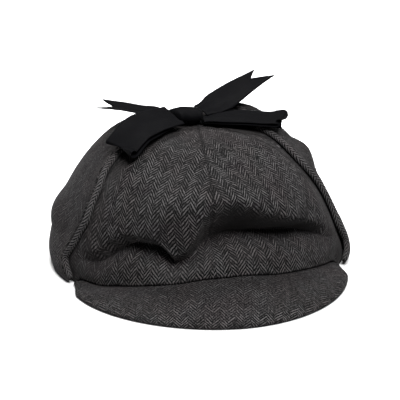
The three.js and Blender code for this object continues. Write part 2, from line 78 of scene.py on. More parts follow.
# The crown's rim and the rest of its half section without its folds
RIM = table(
    "angle r z",
    (-180, 90, 0),
    (-125, 93, 0),
    (-73, 99.6, 0),
    (-65.4, 99.8, 0.3),
    (-62.2, 99, 4.5),
    (-52, 98.5, 5.2),
    (-42, 98.6, 8.8),
    (-29, 98.8, 12.9),
    (-17, 98.8, 16.1),
    (-6, 98.6, 19.4),
    (7, 98.5, 20),
    (21, 98.6, 17.1),
    (37, 98.6, 13.8),
    (51, 98.6, 9.6),
    (62.2, 99, 5.2),
    (65.4, 101.2, 0.3),
    (73, 102.7, 0),
    (92, 98.6, 0),
    (125, 94, 0),
    (180, 90, 0),
)
SECTIONS = table(
    "angle belly_r belly_z brow_r brow_z dome_r dome_z",
    (-180, 95.6, 26, 86, 57, 57, 90),
    (-125, 97.2, 16, 83.5, 57, 55.5, 87.5),
    (-73, 100.5, 14, 84, 57, 55, 85.5),
    (-64, 100.4, 18, 87, 57, 56, 85.5),
    (-35, 97, 31, 92.5, 59.5, 57, 86),
    (0, 96.5, 34, 97.5, 70, 57, 86.5),
    (20, 96.6, 32.5, 97.5, 63.5, 57, 86),
    (38, 97, 31, 95, 57.5, 57, 85.5),
    (64, 100.6, 18, 84.5, 57, 55.5, 85.5),
    (73, 101.8, 12, 80.5, 57, 54.5, 85.5),
    (95, 97, 14, 80.5, 57, 55, 87),
    (130, 96.4, 16, 80.5, 57, 56, 93.2),
    (180, 95.6, 26, 86, 57, 57, 90),
)

# The slumped front: its crease, how deep the cloth is pushed in there, and how far up the crown
# the push reaches
FOLDS = table(
    "angle crease_z depth reach",
    (-66, 18, 0, 9),
    (-55, 19.5, 8, 9),
    (-45, 30.5, 14, 11),
    (-37, 35.5, 15.5, 10.5),
    (-27, 35, 15.5, 10),
    (-23, 31, 13, 9),
    (-19.5, 27.3, 10, 7),
    (-15, 28.6, 11, 8),
    (-11, 32.8, 15, 13),
    (-6, 38.3, 20.5, 29),
    (-1, 40.1, 24.5, 33),
    (7, 41.9, 25, 29.5),
    (16, 41.6, 25, 21.5),
    (25, 40.1, 24, 17),
    (39, 38.1, 17, 10),
    (47, 33.8, 12, 8),
    (60, 25, 0, 8),
)
BROW_POWER = 1.15
ROLL_REACH = 13
ROLL_POWER = 2.2

# A turned-up ear flap from its lower edge at the rim to its tip, and how its front edge stands off
FLAP_ROWS = table(
    "step rise left_front right_front back stand_off",
    (0, 0.0165, 66.6, 66.6, 140, 2.55),
    (1, 0.021, 66.8, 66.8, 140, 2.85),
    (2, 0.03, 67.3, 67.4, 140, 2.95),
    (3, 0.052, 68.7, 69, 140, 2.9),
    (4, 0.105, 71, 70.8, 141, 2.75),
    (5, 0.2, 65.2, 66.8, 146, 2.4),
    (6, 0.29, 60.8, 66.5, 151, 2.2),
    (7, 0.39, 61.6, 64.8, 153, 2.1),
    (8, 0.49, 65.5, 62.4, 150, 2.1),
    (9, 0.58, 69.8, 65, 145, 2.1),
    (10, 0.66, 75, 75.5, 138, 2.1),
    (11, 0.73, 84, 84, 129, 2.1),
)
FLARES = table(
    "step left right",
    (0, 0, 0),
    (1, 0, 0),
    (2, 0, 0.6),
    (3, 0, 1.2),
    (4, 0.2, 1.4),
    (5, 0.6, 0.8),
    (6, 0.8, 0.8),
    (8, 0.8, 0.8),
    (9, 0.6, 0.8),
    (10, 0.3, 0.4),
    (11, 0, 0),
)
FLARE_SHARE = 0.25
FLAP_HEART_UP = 0.6
FLAP_HEART_ACROSS = 0.5
SWELLS = table(
    "side angle rise half_angle half_rise height",
    (1, 96, 0.46, 24, 0.08, 4.8),
    (-1, 96, 0.235, 24, 0.09, 3.6),
)

# Ribbon runs: middle of the ribbon from the crown's axis, heading and dip of its crosswise
# direction, and width
RIBBON_COLUMNS = "x y z heading dip width"
LEFT_LOOP = table(
    RIBBON_COLUMNS,
    (-16.4, -3.5, 102.9, 22, 20, 22),
    (-23.6, -8, 102.9, 16, 17, 24),
    (-35.3, -15, 102.3, 22, 19, 25),
    (-45.6, -24, 100.2, 26, 18, 25.5),
    (-56.2, -33, 92.9, 30, 17, 25.5),
    (-57.4, -34, 91.6, 30, 17, 25.5),
    (-55.4, -32.4, 91.2, 30, 17, 25.5),
    (-45.2, -23.5, 98.2, 26, 18, 25.5),
    (-35.3, -15, 100.3, 22, 19, 24),
    (-24, -8, 100.4, 15, 16, 18),
    (-16.8, -4.5, 100.4, 22, 19, 10),
)
RIGHT_LOOP = table(
    RIBBON_COLUMNS,
    (3.6, -3, 99.3, -15, 5, 12),
    (14.1, -3.5, 100.9, -26, 6, 20),
    (30.6, -4.5, 100.7, -23, 4, 23.5),
    (46.4, -5.5, 99.3, -27, 3, 24),
    (56, -6.4, 98.6, -36, 2, 24),
    (58.6, -6.6, 97.4, -36, 2, 24),
    (56, -6.4, 96.2, -36, 2, 24),
    (46.4, -5.5, 96.9, -27, 3, 24),
    (30.6, -4.5, 98.2, -23, 4, 22.5),
    (14.1, -3.5, 98.6, -26, 6, 18),
    (3.6, -3, 97.7, -15, 5, 10),
)
LEFT_TAIL = table(
    RIBBON_COLUMNS,
    (-20.8, 7.5, 101.8, -2, 4, 12),
    (-26.5, 8.8, 103.6, -8, 0, 17),
    (-37.3, 11.2, 103.9, -15, -2, 22.5),
    (-49.7, 17, 105.2, -19, -3, 24),
    (-64.8, 22, 106.4, -31, -2, 24),
)
RIGHT_TAIL = table(
    RIBBON_COLUMNS,
    (3.6, 5, 103.4, 0, 17, 15),
    (13.1, 10, 105.4, 14, 14, 21),
    (22.2, 18, 107.9, 16, 15, 24),
    (35, 27, 112.8, 13, 11, 24.5),
    (55.2, 36, 120.8, 33, -6, 25),
)
LEFT_TIE = table(
    RIBBON_COLUMNS,
    (-34.2, 9.8, 94, -16, 0, 16),
    (-24, 6, 95.4, -16, 0, 13),
    (-14, 1.5, 96.1, -16, 0, 10),
)
RIGHT_TIE = table(
    RIBBON_COLUMNS,
    (34.5, 9.6, 95.9, 16, 10, 14),
    (16, 5, 96.7, 16, 8, 12),
    (1, 1, 96.1, 16, 0, 9),
)
KNOT_CENTRE = (-7, 0, 102.2)
KNOT_SECTIONS = table(
    "along half_depth half_height lean",
    (-10.2, 6, 3.2, 3),
    (-8, 8, 4.6, 3.2),
    (-3, 9, 5.2, 2.4),
    (3, 9, 5.2, 1.4),
    (8, 8, 4.6, 0.8),
    (9.8, 6, 3.2, 0.6),
)

# Cut of the crown: six panels, with a seam down the front
FRONT_SEAM_ANGLE = -4
PANEL_ANGLE = 60


# Curves and tables
def bell(x):
    """1 in the middle, 0 at and past either end."""
    return np.where(np.abs(x) < 1, (1 - np.minimum(np.abs(x), 1) ** 2) ** 2, 0.0)


def ease(low, high, x):
    """0 below low, 1 above high, smooth between."""
    t = np.clip((np.asarray(x, float) - low) / (high - low), 0, 1)
    return t * t * (3 - 2 * t)


def look_up(rows, column, value, key="angle"):
    """A column of a table at any value of its key, smooth, and level wherever it turns back."""
    xs, ys = rows[key], rows[column]
    x = np.clip(np.asarray(value, float), xs[0], xs[-1])
    step = np.diff(xs)
    rise = np.diff(ys) / step
    slope = np.zeros_like(ys)
    for i in range(1, len(xs) - 1):
        if rise[i - 1] * rise[i] > 0:
            before = 2 * step[i] + step[i - 1]
            after = step[i] + 2 * step[i - 1]
            slope[i] = (before + after) / (before / rise[i - 1] + after / rise[i])
    k = np.clip(np.searchsorted(xs, x, side="right") - 1, 0, len(xs) - 2)
    t = (x - xs[k]) / step[k]
    return (
        (1 + 2 * t) * (1 - t) ** 2 * ys[k]
        + t * (1 - t) ** 2 * step[k] * slope[k]
        + t * t * (3 - 2 * t) * ys[k + 1]
        + t * t * (t - 1) * step[k] * slope[k + 1]
    )


def smooth_line(places, per_span):
    """Points along a centripetal curve through places, whose last two axes are place and coordinate."""
    first = 2 * places[..., :1, :] - places[..., 1:2, :]
    last = 2 * places[..., -1:, :] - places[..., -2:-1, :]
    padded = np.concatenate([first, places, last], -2)
    t = np.linspace(0, 1, per_span, endpoint=False)[:, None]
    spans = []
    for i in range(places.shape[-2] - 1):
        p0, p1, p2, p3 = (padded[..., i + j, :][..., None, :] for j in range(4))
        k0, k1, k2 = (
            np.sqrt(np.linalg.norm(b - a, axis=-1, keepdims=True))
            for a, b in ((p0, p1), (p1, p2), (p2, p3))
        )
        leave = ((p1 - p0) / k0 - (p2 - p0) / (k0 + k1) + (p2 - p1) / k1) * k1
        arrive = ((p2 - p1) / k1 - (p3 - p1) / (k1 + k2) + (p3 - p2) / k2) * k1
        spans.append(
            (2 * t**3 - 3 * t**2 + 1) * p1
            + (t**3 - 2 * t**2 + t) * leave
            + (3 * t**2 - 2 * t**3) * p2
            + (t**3 - t**2) * arrive
        )
    spans.append(places[..., -1:, :])
    return np.concatenate(spans, -2)


def lengths_along(points):
    """Length from the first point to each, along the last axis but one."""
    steps = np.linalg.norm(np.diff(points, axis=-2), axis=-1)
    return np.concatenate([np.zeros(steps.shape[:-1] + (1,)), np.cumsum(steps, -1)], -1)


def unit(vectors):
    return vectors / np.maximum(np.linalg.norm(vectors, axis=-1, keepdims=True), 1e-12)


def surface_normal(surface, a, b, step_a, step_b):
    """Direction across a surface given as a function of two values."""
    along_a = surface(a + step_a, b) - surface(a - step_a, b)
    along_b = surface(a, b + step_b) - surface(a, b - step_b)
    return unit(np.cross(along_a, along_b))


def ripple(points, size, seed):
    """Smooth noise from -1 to 1 at each point, for waves about size apart."""
    flat = points.reshape(-1, 3) / size + seed
    return np.array([noise.noise(Vector(p)) for p in flat]).reshape(points.shape[:-1])


# Crown surface, as fine tables of its half sections
SECTION_STEP = 0.25
SECTION_SHARES = 400
SECTION_SAMPLES = 96


def make_sections():
    angles = np.arange(-180, 180 + SECTION_STEP, SECTION_STEP)
    at = {column: look_up(SECTIONS, column, angles) for column in SECTIONS}
    rim = np.stack([look_up(RIM, "r", angles), look_up(RIM, "z", angles)], -1)
    others = [np.stack([at[f"{name}_r"], at[f"{name}_z"]], -1) for name in ("belly", "brow", "dome")]
    top = np.stack([np.zeros_like(angles), np.full_like(angles, CROWN_HEIGHT)], -1)
    beyond = np.stack([-at["dome_r"], at["dome_z"]], -1)
    places = np.stack([rim, *others, top, beyond], 1)
    line = smooth_line(places, SECTION_SAMPLES)[:, : (places.shape[1] - 2) * SECTION_SAMPLES + 1]
    lengths = lengths_along(line)
    shares = np.linspace(0, 1, SECTION_SHARES + 1)

    def at_shares(values):
        rows = zip(lengths, values)
        return np.array([np.interp(shares * length[-1], length, row) for length, row in rows])

    return angles, at_shares(line[..., 0]), at_shares(line[..., 1]), lengths[:, -1]


SECTION_ANGLES, SECTION_R, SECTION_Z, SECTION_TOTAL = make_sections()


def wrap_angle(angle):
    return (np.asarray(angle, float) + 180) % 360 - 180


def crown_length(angle):
    """Length of the half section from rim to crown top."""
    return np.interp(wrap_angle(angle), SECTION_ANGLES, SECTION_TOTAL)


def section_place(angle, share):
    """Radius and height of the half section at a share of its length."""
    i = np.clip((wrap_angle(angle) + 180) / SECTION_STEP, 0, len(SECTION_ANGLES) - 1.001)
    j = np.clip(np.asarray(share, float), 0, 1) * (SECTION_SHARES - 0.001)
    i, j = np.broadcast_arrays(i, j)
    i0, j0 = i.astype(int), j.astype(int)
    p, q = i - i0, j - j0
    return tuple(
        (1 - p) * ((1 - q) * grid[i0, j0] + q * grid[i0, j0 + 1])
        + p * ((1 - q) * grid[i0 + 1, j0] + q * grid[i0 + 1, j0 + 1])
        for grid in (SECTION_R, SECTION_Z)
    )


def make_creases():
    heights = look_up(FOLDS, "crease_z", SECTION_ANGLES)
    shares = np.linspace(0, 1, SECTION_SHARES + 1)
    return np.array(
        [np.interp(z, line, shares) * total for z, line, total in zip(heights, SECTION_Z, SECTION_TOTAL)]
    )


CREASE_LENGTHS = make_creases()


def crease_length(angle):
    return np.interp(wrap_angle(angle), SECTION_ANGLES, CREASE_LENGTHS)


def about_axis(angle, radius, height):
    turn = np.radians(angle)
    return np.stack([radius * np.sin(turn), CROWN_AXIS_Y - radius * np.cos(turn), height + 0 * turn], -1)


def plain_crown(angle, share):
    """Outer face of the crown without its folds."""
    return about_axis(angle, *section_place(angle, share))


def folded_crown(angle, share):
    """Outer face of the crown with the slumped front."""
    turned = wrap_angle(angle)
    radius, height = section_place(turned, share)
    above = share * crown_length(turned) - crease_length(turned)
    under_brow = np.clip(1 - above / look_up(FOLDS, "reach", turned), 0, 1) ** BROW_POWER
    over_roll = np.clip(1 + above / ROLL_REACH, 0, 1) ** ROLL_POWER
    radius = radius - look_up(FOLDS, "depth", turned) * np.where(above > 0, under_brow, over_roll)
    return about_axis(turned, radius, height)


def crown_normal(surface, angle, share):
    step = 0.003
    within = np.clip(share, step, 1 - 3 * step)
    return surface_normal(surface, np.asarray(angle, float), within, 0.5, step)


# Meshes
UV_PER_MM = 0.01


def clean_faces(corners, uv):
    """Faces and their corners' places on the cloth, with corners that meet joined."""
    faces, places = [], []
    for ids, spots in zip(corners.tolist(), uv.tolist()):
        kept = [k for k in range(4) if ids[k] != ids[k - 1]]
        if len(kept) > 2:
            faces.append([ids[k] for k in kept])
            places += [spots[k] for k in kept]
    return faces, places


def skin(name, points, uv, material, joined=False, shared_top=(), values=None, uv_after=None):
    """A closed mesh over a grid of rings by ring points.

    uv has one more point in each ring than points has, and one more ring where the rings join.
    uv_after is the cloth's place as the faces after a ring see it, where a seam parts them.
    shared_top lists the ring points that all rings share. values are named numbers at each point.
    """
    rings, count = points.shape[:2]
    ids = np.arange(rings * count).reshape(rings, count)
    for j in shared_top:
        ids[:, j] = ids[0, j]
    ids = np.concatenate([ids, ids[:, :1]], 1)
    if joined:
        ids = np.concatenate([ids, ids[:1]], 0)
    after = uv if uv_after is None else uv_after
    corners = np.stack([ids[:-1, :-1], ids[:-1, 1:], ids[1:, 1:], ids[1:, :-1]], -1).reshape(-1, 4)
    spots = np.stack([after[:-1, :-1], after[:-1, 1:], uv[1:, 1:], uv[1:, :-1]], -2).reshape(-1, 4, 2)
    if not joined:
        half = count // 2
        low, high = np.arange(half - 1), count - 1 - np.arange(half - 1)
        first = np.stack([ids[0, high], ids[0, high - 1], ids[0, low + 1], ids[0, low]], -1)
        last = np.stack([ids[-1, low], ids[-1, low + 1], ids[-1, high - 1], ids[-1, high]], -1)
        first_uv = np.stack([uv[0, high], uv[0, high - 1], uv[0, low + 1], uv[0, low]], -2)
        last_uv = np.stack([uv[-1, low], uv[-1, low + 1], uv[-1, high - 1], uv[-1, high]], -2)
        corners = np.concatenate([corners, first, last])
        spots = np.concatenate([spots, first_uv, last_uv])
    used, place = np.unique(corners, return_inverse=True)
    corners = place.reshape(corners.shape)
    vertices = points.reshape(-1, 3)[used]
    triangles = np.concatenate([corners[:, :3], corners[:, [0, 2, 3]]])
    a, b, c = (vertices[triangles[:, k]] for k in range(3))
    if (a * np.cross(b, c)).sum() < 0:
        corners, spots = corners[:, ::-1], spots[:, ::-1]
    faces, places = clean_faces(corners, spots)
    mesh = bpy.data.meshes.new(name)
    mesh.from_pydata((vertices * MM).tolist(), [], faces)
    mesh.polygons.foreach_set("use_smooth", np.ones(len(faces), bool))
    layer = mesh.uv_layers.new(name="weave")
    layer.uv.foreach_set("vector", (np.array(places) * UV_PER_MM).astype(np.float32).ravel())
    for label, numbers in (values or {}).items():
        attribute = mesh.attributes.new(label, "FLOAT", "POINT")
        attribute.data.foreach_set("value", numbers.reshape(-1)[used].astype(np.float32))
    mesh.materials.append(material)
    mesh.update()
    piece = bpy.data.objects.new(name, mesh)
    bpy.context.scene.collection.objects.link(piece)
    return piece


def close_uv(uv):
    """The cloth's places for skin(), where the ring's end meets its start."""
    return np.concatenate([uv, uv[:, :1]], 1)


def stand_for(piece, node):
    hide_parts(node)
    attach(piece, "root")
    return piece


# Materials
class Shader:
    """Short calls to make a material's nodes. A number stands for itself and a socket is linked."""

    def __init__(self, name):
        self.material = bpy.data.materials.new(name)
        self.material.use_nodes = True
        self.tree = self.material.node_tree
        self.principled = self.tree.nodes["Principled BSDF"]

    def put(self, socket, value):
        if isinstance(value, bpy.types.NodeSocket):
            self.tree.links.new(value, socket)
        else:
            socket.default_value = value

    def node(self, kind, settings=None, **inputs):
        node = self.tree.nodes.new(f"ShaderNode{kind}")
        for key, value in (settings or {}).items():
            setattr(node, key, value)
        for key, value in inputs.items():
            self.put(node.inputs[key.replace("_", " ")], value)
        return node

    def math(self, operation, *values):
        node = self.node("Math", {"operation": operation})
        for socket, value in zip(node.inputs, values):
            self.put(socket, value)
        return node.outputs[0]

    def add(self, a, b):
        return self.math("ADD", a, b)

    def times(self, a, b):
        return self.math("MULTIPLY", a, b)

    def smooth(self, value, low, high, to_low=0.0, to_high=1.0):
        node = self.node("MapRange", {"interpolation_type": "SMOOTHSTEP"})
        for socket, number in zip(node.inputs, (value, low, high, to_low, to_high)):
            self.put(socket, number)
        return node.outputs[0]

    def noise(self, vector, scale, detail=2.0, roughness=0.5, output="Fac"):
        inputs = {"Vector": vector, "Scale": scale, "Detail": detail, "Roughness": roughness}
        return self.node("TexNoise", {"noise_dimensions": "2D"}, **inputs).outputs[output]

    def swing(self, value, amount):
        """A value from 0 to 1 as a swing to either side of nothing."""
        return self.times(self.add(value, -0.5), amount)

    def finish(self, colour, bump, constants):
        self.put(self.principled.inputs["Base Color"], colour)
        self.put(self.principled.inputs["Normal"], bump)
        for key, value in constants.items():
            self.principled.inputs[key].default_value = value
        return self.material

    def vector(self, x, y):
        return self.node("CombineXYZ", X=x, Y=y).outputs[0]

    def mix(self, factor, a, b):
        node = self.node("Mix", {"data_type": "RGBA"})
        for socket, value in zip((node.inputs[0], node.inputs[6], node.inputs[7]), (factor, a, b)):
            self.put(socket, value)
        return node.outputs[2]

    def attribute(self, name):
        return self.node("Attribute", {"attribute_name": name}).outputs["Fac"]

    def cloth_place(self):
        """The place on the cloth: its vector, and millimetres across and along."""
        uv = self.node("UVMap", {"uv_map": "weave"}).outputs[0]
        apart = self.node("SeparateXYZ", Vector=uv)
        return uv, self.times(apart.outputs[0], 1 / UV_PER_MM), self.times(apart.outputs[1], 1 / UV_PER_MM)


# Herringbone wool: columns of slanting strokes, in millimetres. Noise is in waves per 100 mm
COLUMN_MM = 4.95
STROKE_MM = 2.8
STROKE_SLOPE = 1.25
STROKE_FLANKS = (-0.45, 0.6)
WOBBLE_MM = 1.1
WOBBLE_WAVES = 9.0
JITTER_WAVES = 75.0
YARN_BRIGHTEST = 1.1
YARN_SPREAD = 0.65
BREAKS_ACROSS = 3.2
BREAK_COLUMN_SHIFT = 7.3
BREAK_RANGE = (0.34, 0.62)
BREAK_BRIGHTEST = 1.15
BREAK_SPREAD = 0.8
COLUMN_END = (0.40, 0.5)
COLUMN_END_LIGHT = 0.55
PATCH_WAVES = 3.2
PATCH_RANGE = (0.34, 0.62)
PATCH_CLEAREST = 1.1
PATCH_SPREAD = 0.35
FIBRE_ROUGHNESS = 0.7
FLECK_WAVES = 130.0
FLECK_RANGE = (0.68, 0.80)
FLECK_LIGHT = 0.16
MOTTLE_WAVES = 6.5
MOTTLE_LIGHT = 0.10
WARM_WAVES = 4.3
WARM_RANGE = (0.35, 0.65)
WOOL_DARK = (0.0017, 0.00167, 0.00173, 1)
WOOL_LIGHT = (0.0350, 0.0335, 0.0338, 1)
WOOL_WARM = (0.0332, 0.0302, 0.0302, 1)
WOOL_MIDDLE = 0.30
WEAVE_RELIEF = 0.7
FIBRE_RELIEF = 0.5
WOOL_BUMP = 0.7
WOOL_BUMP_DEPTH = 0.00025
WOOL_FINISH = {
    "Roughness": 0.92,
    "Specular IOR Level": 0.025,
    "Sheen Weight": 0.014,
    "Sheen Roughness": 0.45,
    "Sheen Tint": (0.80, 0.77, 0.78, 1),
}


def wool_material(name, strength, grain, wear=1.0, nap=125.0):
    """Brushed herringbone wool. strength is how clearly the weave shows, grain how rough the nap is,
    wear how unevenly the yarns show through it and nap how fine its tufts are.
    """
    s = Shader(name)
    uv, across, along = s.cloth_place()
    wobble = s.node("SeparateColor", Color=s.noise(uv, WOBBLE_WAVES, 1.0, output="Color"))
    across = s.add(across, s.swing(wobble.outputs[0], WOBBLE_MM))
    along = s.add(along, s.swing(wobble.outputs[1], WOBBLE_MM))
    along = s.add(along, s.swing(s.noise(uv, JITTER_WAVES, 1.0), WOBBLE_MM))
    # Columns of strokes that lean to either side in turn
    column = s.times(across, 1 / COLUMN_MM)
    number = s.math("FLOOR", column)
    inside = s.math("FRACT", column)
    odd = s.math("FLOORED_MODULO", number, 2.0)
    side = s.add(1.0, s.times(odd, -2.0))
    lean = s.times(s.times(s.add(inside, -0.5), side), COLUMN_MM * STROKE_SLOPE)
    stroke = s.add(s.times(s.add(along, lean), 1 / STROKE_MM), s.times(odd, 0.5))
    wave = s.math("COSINE", s.times(stroke, 2 * math.pi))
    ridge = s.smooth(wave, *STROKE_FLANKS)
    # Each yarn differs, breaks here and there, and goes under where the columns turn
    which = s.vector(s.math("FLOOR", s.add(stroke, 0.5)), number)
    yarn = s.node("TexWhiteNoise", {"noise_dimensions": "2D"}, Vector=which).outputs["Value"]
    yarn = s.smooth(yarn, 0.0, 1.0, YARN_BRIGHTEST - YARN_SPREAD * wear, YARN_BRIGHTEST)
    run = s.add(stroke, s.times(number, BREAK_COLUMN_SHIFT))
    breaks = s.noise(s.vector(s.times(inside, BREAKS_ACROSS), run), 1.0, 2.0)
    breaks = s.smooth(breaks, *BREAK_RANGE, BREAK_BRIGHTEST - BREAK_SPREAD * wear, BREAK_BRIGHTEST)
    end = s.smooth(s.math("ABSOLUTE", s.add(inside, -0.5)), *COLUMN_END, 1.0, COLUMN_END_LIGHT)
    light = s.times(s.times(ridge, s.times(yarn, breaks)), end)
    # The nap hides the weave in places
    patches = s.noise(uv, PATCH_WAVES, 3.0)
    patches = s.smooth(patches, *PATCH_RANGE, PATCH_CLEAREST - PATCH_SPREAD * wear, PATCH_CLEAREST)
    clear = s.times(s.times(s.attribute("clear"), patches), strength)
    tone = s.add(s.times(s.add(light, -WOOL_MIDDLE), clear), WOOL_MIDDLE)
    fibre = s.noise(uv, nap, 3.0, FIBRE_ROUGHNESS)
    tone = s.add(tone, s.swing(fibre, grain))
    fleck = s.smooth(s.noise(uv, FLECK_WAVES, 1.0), *FLECK_RANGE, 0.0, FLECK_LIGHT)
    tone = s.add(s.add(tone, fleck), s.swing(s.noise(uv, MOTTLE_WAVES), MOTTLE_LIGHT))
    pale = s.mix(s.smooth(s.noise(uv, WARM_WAVES), *WARM_RANGE), WOOL_LIGHT, WOOL_WARM)
    # Painted light and shade, and the dark seams, from each piece's attribute
    tone = s.times(tone, s.attribute("seams_and_painted_light"))
    colour = s.mix(s.math("MAXIMUM", tone, 0.0), WOOL_DARK, pale)
    height = s.add(s.times(s.times(light, clear), WEAVE_RELIEF), s.times(fibre, FIBRE_RELIEF))
    bump = s.node("Bump", Strength=WOOL_BUMP, Distance=WOOL_BUMP_DEPTH, Height=height)
    return s.finish(colour, bump.outputs[0], WOOL_FINISH)


# Ribbon: fine crosswise ribs, in millimetres, and a firmer edge
RIB_MM = 0.55
THREAD_MM = 0.44
RIB_FLANKS = (-0.8, 0.8)
RIBBON_SOFT_WAVES = 7.0
RIBBON_FINE_WAVES = 190.0
RIBBON_EDGE = (RIBBON_WIDTH / 2 - 1.4, RIBBON_WIDTH / 2 - 0.5)
RIB_LIGHT = 0.35
SOFT_LIGHT = 0.45
FINE_LIGHT = 0.5
EDGE_LIGHT = 0.25
RIB_RELIEF = 0.7
THREAD_RELIEF = 0.15
FINE_RELIEF = 0.5
RIBBON_BUMP = 0.5
RIBBON_BUMP_DEPTH = 0.00008
RIBBON_DARK = (0.0007, 0.0007, 0.0009, 1)
RIBBON_LIGHT = (0.0013, 0.0013, 0.0016, 1)
RIBBON_ROUGHNESS = (0.62, 0.74)
RIBBON_FINISH = {"Specular IOR Level": 0.016, "Sheen Weight": 0.008, "Sheen Roughness": 0.4}


def ribbon_material(name):
    """Matte black ribbon with fine crosswise ribs and a firmer edge."""
    s = Shader(name)
    uv, across, along = s.cloth_place()
    rib = s.smooth(s.math("COSINE", s.times(along, 2 * math.pi / RIB_MM)), *RIB_FLANKS)
    thread = s.math("COSINE", s.times(across, 2 * math.pi / THREAD_MM))
    soft = s.noise(uv, RIBBON_SOFT_WAVES, 3.0)
    fine = s.noise(uv, RIBBON_FINE_WAVES)
    edge = s.smooth(s.math("ABSOLUTE", across), *RIBBON_EDGE)
    tone = s.add(s.times(rib, RIB_LIGHT), s.times(soft, SOFT_LIGHT))
    tone = s.add(tone, s.swing(fine, FINE_LIGHT))
    tone = s.add(tone, s.times(edge, EDGE_LIGHT))
    height = s.add(s.times(rib, RIB_RELIEF), s.times(thread, THREAD_RELIEF))
    height = s.add(height, s.times(fine, FINE_RELIEF))
    bump = s.node("Bump", Strength=RIBBON_BUMP, Distance=RIBBON_BUMP_DEPTH, Height=height)
    colour = s.mix(s.math("MAXIMUM", tone, 0.0), RIBBON_DARK, RIBBON_LIGHT)
    s.put(s.principled.inputs["Roughness"], s.smooth(soft, 0.3, 0.7, *RIBBON_ROUGHNESS))
    return s.finish(colour, bump.outputs[0], RIBBON_FINISH)


wool = wool_material("herringbone_wool", strength=1.36, grain=0.55)
peak_wool = wool_material("herringbone_wool_peak", strength=1.3, grain=1.9, nap=85.0)
flap_wool = wool_material("herringbone_wool_napped", strength=0.95, grain=2.0, nap=85.0)
piping_wool = wool_material("herringbone_wool_piping", strength=2.8, grain=0.3, wear=0.3)
ribbon = ribbon_material("ribbon")

# Crown: one shell of six panels, its seams drawn in and its cloth gently creased
FRONT_HALF_ANGLE = 76
FRONT_STEP = 0.5
BACK_STEP = 2
BELOW_ROWS = 36
ABOVE_ROWS = 72
ROW_CROWDING = 1.15
INNER_EVERY = 3
HEM_ANGLES = (-45, 0, 45)
SEAM_DEPTH = 0.6
SEAM_FADE = (-2, 9)
SEAM_HALF_WIDTH = 1.8
PUCKER_HEIGHT = 0.35
PUCKER_HALF_WIDTH = 9
PUCKER_MM = 11
SOFT_FOLDS = table("size height seed", (38, 1.2, 3.7), (15, 0.45, 8.1))
FREE_AT_RIM = (0.02, 0.09)
HELD_AT_TOP = (0.86, 0.95)
FLAP_COVER_FRONT = (50, 57)
FLAP_COVER_BACK = (156, 162)
FLAP_COVER_TOP = (0.8, 0.9)

# How the front panels' grain lies: its columns lean in, and its cross threads slant
GRAIN_LEAN = 0.1
GRAIN_SLANT = 0.28
FRONT_PANELS_WITHIN = 90
PANEL_BORDER = 0.01

# Where the weave is rubbed or clear, where the seams are dark, and where light and shade are painted on:
# painted shade deep in the fold, painted light in the rest of the fold and on the roll
RUBBED_SIDES = (46, 60)
RUBBED_SIDES_SHARE = 0.55
RUBBED_TOP = (0.62, 0.86)
RUBBED_TOP_SHARE = 0.6
FOLD_FADE = (0.45, 1)
FOLD_DEPTHS = (4, 14)
DEEP_FOLD_FROM = (-8, 6)
# Painted shade deep in the fold
DEEP_FOLD_PAINTED_SHADE = 0.55
DEEP_HIDING = 0.55
# Painted light in the fold left of its deep part
FOLD_PAINTED_LIGHT = 0.6
FOLD_HIDING = 0.4
SEAM_DARKENING = 0.55
# Painted light on the roll
ROLL_PAINTED_LIGHT = 0.38
ROLL_MIDDLE = 0.45
ROLL_HALF = 0.6
ROLL_SIDES = (60, 45)
RIM_CLEAR = 1.15
ROLL_HIDING = 0.5
RIM_BAND = (0.1, 0.4)


def crown_rows(angles):
    """Shares of the way from rim to crown top, one line of rows for each angle."""
    crease = (crease_length(angles) / crown_length(angles))[:, None]
    below = np.linspace(0, 1, BELOW_ROWS + 1)[None, :]
    above = np.linspace(0, 1, ABOVE_ROWS + 1)[None, 1:] ** ROW_CROWDING
    hem = (CROWN_CLOTH / 2 / crown_length(angles))[:, None]
    return np.concatenate([hem + (crease - hem) * below, crease + (1 - crease) * above], 1)


def panel_middle(angle):
    """Angle of the middle of the panel that holds an angle."""
    return FRONT_SEAM_ANGLE + PANEL_ANGLE * (np.floor((angle - FRONT_SEAM_ANGLE) / PANEL_ANGLE) + 0.5)


def under_flaps(angle, share):
    """1 where an ear flap lies on the crown, with a soft border."""
    side = np.abs(wrap_angle(angle))
    covered = ease(*FLAP_COVER_FRONT, side) * (1 - ease(*FLAP_COVER_BACK, side))
    return covered * (1 - ease(*FLAP_COVER_TOP, share))


